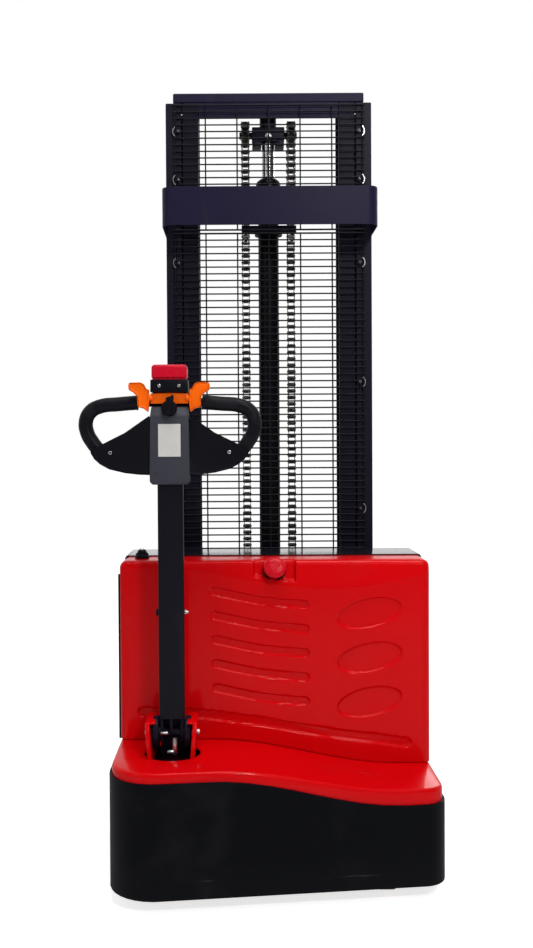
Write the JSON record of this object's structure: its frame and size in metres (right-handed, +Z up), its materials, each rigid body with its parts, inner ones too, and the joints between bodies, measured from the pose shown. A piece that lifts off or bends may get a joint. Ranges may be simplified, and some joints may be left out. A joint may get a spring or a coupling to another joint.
{
  "type": "walkie stacker",
  "caption": "Pedestrian electric stacker with a two-stage mast, forks over base legs, wire guard and an offset tiller.",
  "frame": {"origin": "on the floor, under the middle of the whole machine with its tiller upright", "axes": "+Z up; the operator stands on the -Y side and the forks point along +Y; +X is the operator's right"},
  "size_m": [0.88, 1.94, 2.08],
  "materials": {
    "red_paint": "high gloss red paint",
    "black_paint": "satin black powder coat",
    "skirt_black": "matt black textured coat",
    "grey_plastic": "fine grained dark grey moulding",
    "black_plastic": "satin black moulding",
    "grip_rubber": "matt black moulded grip",
    "orange_plastic": "semi gloss orange moulding",
    "red_plastic": "glossy crimson moulding",
    "steel": "turned and plated steel",
    "chrome": "hard chrome",
    "chain_steel": "oiled dark steel",
    "polyurethane": "cast polyurethane tread",
    "battery_case": "black battery case"
  },
  "bodies": {
    "chassis": {"base_frame": "black_paint", "leg_left": "black_paint", "leg_right": "black_paint", "skirt": "skirt_black", "deck_cover": "red_paint", "body_cover": "red_paint", "rear_housing": "black_paint", "outer_channel_left": "black_paint", "outer_channel_right": "black_paint", "outer_crossmember": "black_paint", "guard_upper": "black_paint", "guard_lower": "black_paint", "lift_cylinder": "black_paint", "chain_anchor_bar": "black_paint", "rear_chain_left": "chain_steel", "rear_chain_right": "chain_steel", "battery": "battery_case", "hydraulic_tank": "black_paint", "pump_motor": "steel", "drive_controller": "black_plastic", "estop_base": "black_plastic", "key_switch": "black_plastic"},
    "inner_mast": {"inner_channel_left": "black_paint", "inner_channel_right": "black_paint", "inner_top_crossmember": "black_paint", "inner_lower_crossmember": "black_paint", "piston_rod": "chrome", "chain_crosshead": "black_paint", "front_chain_left": "chain_steel", "front_chain_right": "chain_steel"},
    "chain_wheels": {"chain_wheel_left": "steel", "chain_wheel_right": "steel"},
    "mast_rollers": {"mast_roller_left": "steel", "mast_roller_right": "steel"},
    "carriage": {"carriage_frame": "black_paint", "fork_left": "black_paint", "fork_right": "black_paint"},
    "carriage_upper_rollers": {"carriage_roller_upper_left": "steel", "carriage_roller_upper_right": "steel"},
    "carriage_lower_rollers": {"carriage_roller_lower_left": "steel", "carriage_roller_lower_right": "steel"},
    "load_wheel_left": {"load_roller_left": "polyurethane"},
    "load_wheel_right": {"load_roller_right": "polyurethane"},
    "steering": {"drive_unit": "steel", "tiller_bracket": "red_paint", "tiller_pivot_pin": "steel"},
    "drive_wheel": {"drive_wheel": "polyurethane"},
    "tiller": {"tiller_arm": "black_paint", "tiller_spring": "chain_steel", "head_cover": "grey_plastic", "handle_housing": "black_plastic", "grip_left": "grip_rubber", "grip_right": "grip_rubber"},
    "throttle": {"throttle": "orange_plastic"},
    "reverse_button": {"reverse_button": "red_plastic"},
    "lift_knob": {"lift_knob": "black_plastic"},
    "estop_button": {"estop_button": "red_plastic"},
    "key": {"key": "steel"},
    "caster_fork": {"caster_fork": "steel"},
    "caster_wheel": {"caster_wheel": "polyurethane"}
  },
  "joints": [
    {"name": "mast_lift", "type": "slide", "parent": "chassis", "child": "inner_mast", "axis": [0, 0, 1], "range_m": [0, 1.42], "deforming": ["rear_chain_left", "rear_chain_right"]},
    {"name": "carriage_lift", "type": "slide", "parent": "inner_mast", "child": "carriage", "axis": [0, 0, 1], "range_m": [0, 1.42], "deforming": ["front_chain_left", "front_chain_right"]},
    {"name": "chain_wheel_turn", "type": "hinge", "parent": "inner_mast", "child": "chain_wheels", "pos_m": [0.04, -0.299, 1.973], "axis": [1, 0, 0], "range_deg": [0, 2400]},
    {"name": "mast_roller_turn", "type": "hinge", "parent": "inner_mast", "child": "mast_rollers", "pos_m": [0.04, -0.299, 0.16], "axis": [1, 0, 0], "range_deg": [0, 1800]},
    {"name": "upper_roller_turn", "type": "hinge", "parent": "carriage", "child": "carriage_upper_rollers", "pos_m": [0.04, -0.299, 0.44], "axis": [1, 0, 0], "range_deg": [0, 2000]},
    {"name": "lower_roller_turn", "type": "hinge", "parent": "carriage", "child": "carriage_lower_rollers", "pos_m": [0.04, -0.299, 0.16], "axis": [1, 0, 0], "range_deg": [0, 2000]},
    {"name": "load_roller_left_spin", "type": "hinge", "parent": "chassis", "child": "load_wheel_left", "pos_m": [-0.165, 0.85, 0.036], "axis": [1, 0, 0], "continuous": true},
    {"name": "load_roller_right_spin", "type": "hinge", "parent": "chassis", "child": "load_wheel_right", "pos_m": [0.245, 0.85, 0.036], "axis": [1, 0, 0], "continuous": true},
    {"name": "steer", "type": "hinge", "parent": "chassis", "child": "steering", "pos_m": [-0.2145, -0.8, 0.28], "axis": [0, 0, -1], "range_deg": [-90, 90]},
    {"name": "drive_wheel_spin", "type": "hinge", "parent": "steering", "child": "drive_wheel", "pos_m": [-0.2145, -0.8, 0.12], "axis": [1, 0, 0], "continuous": true},
    {"name": "tiller_tilt", "type": "hinge", "parent": "steering", "child": "tiller", "pos_m": [-0.2145, -0.8, 0.375], "axis": [1, 0, 0], "range_deg": [0, 80], "stiffness_Nm_per_rad": 40, "springref_deg": -17.19},
    {"name": "throttle_turn", "type": "hinge", "parent": "tiller", "child": "throttle", "pos_m": [-0.2145, -0.824, 1.189], "axis": [1, 0, 0], "range_deg": [-25, 25], "stiffness_Nm_per_rad": 0.5},
    {"name": "reverse_button_press", "type": "slide", "parent": "tiller", "child": "reverse_button", "axis": [0, 0, -1], "range_m": [0, 0.008], "stiffness_N_per_m": 600},
    {"name": "lift_knob_turn", "type": "hinge", "parent": "tiller", "child": "lift_knob", "pos_m": [-0.2145, -0.8343, 1.157], "axis": [0, -1, 0], "range_deg": [-30, 30], "stiffness_Nm_per_rad": 0.2},
    {"name": "estop_press", "type": "slide", "parent": "chassis", "child": "estop_button", "axis": [0, 0.9063, -0.4226], "range_m": [0, 0.006], "stiffness_N_per_m": 800},
    {"name": "key_turn", "type": "hinge", "parent": "chassis", "child": "key", "pos_m": [-0.303, -0.62, 0.7803], "axis": [0, 0, 1], "range_deg": [0, 90]},
    {"name": "caster_swivel", "type": "hinge", "parent": "chassis", "child": "caster_fork", "pos_m": [0.3, -0.79, 0.176], "axis": [0, 0, 1], "continuous": true},
    {"name": "caster_spin", "type": "hinge", "parent": "caster_fork", "child": "caster_wheel", "pos_m": [0.3, -0.82, 0.0625], "axis": [1, 0, 0], "continuous": true}
  ],
  "couplings": [
    {"joint": "carriage_lift", "follows": "mast_lift", "ratio": 1},
    {"joint": "chain_wheel_turn", "follows": "mast_lift", "rad_per_m": 28.571},
    {"joint": "mast_roller_turn", "follows": "mast_lift", "rad_per_m": 21.505},
    {"joint": "upper_roller_turn", "follows": "mast_lift", "rad_per_m": 24.096},
    {"joint": "lower_roller_turn", "follows": "mast_lift", "rad_per_m": 24.096}
  ]
}
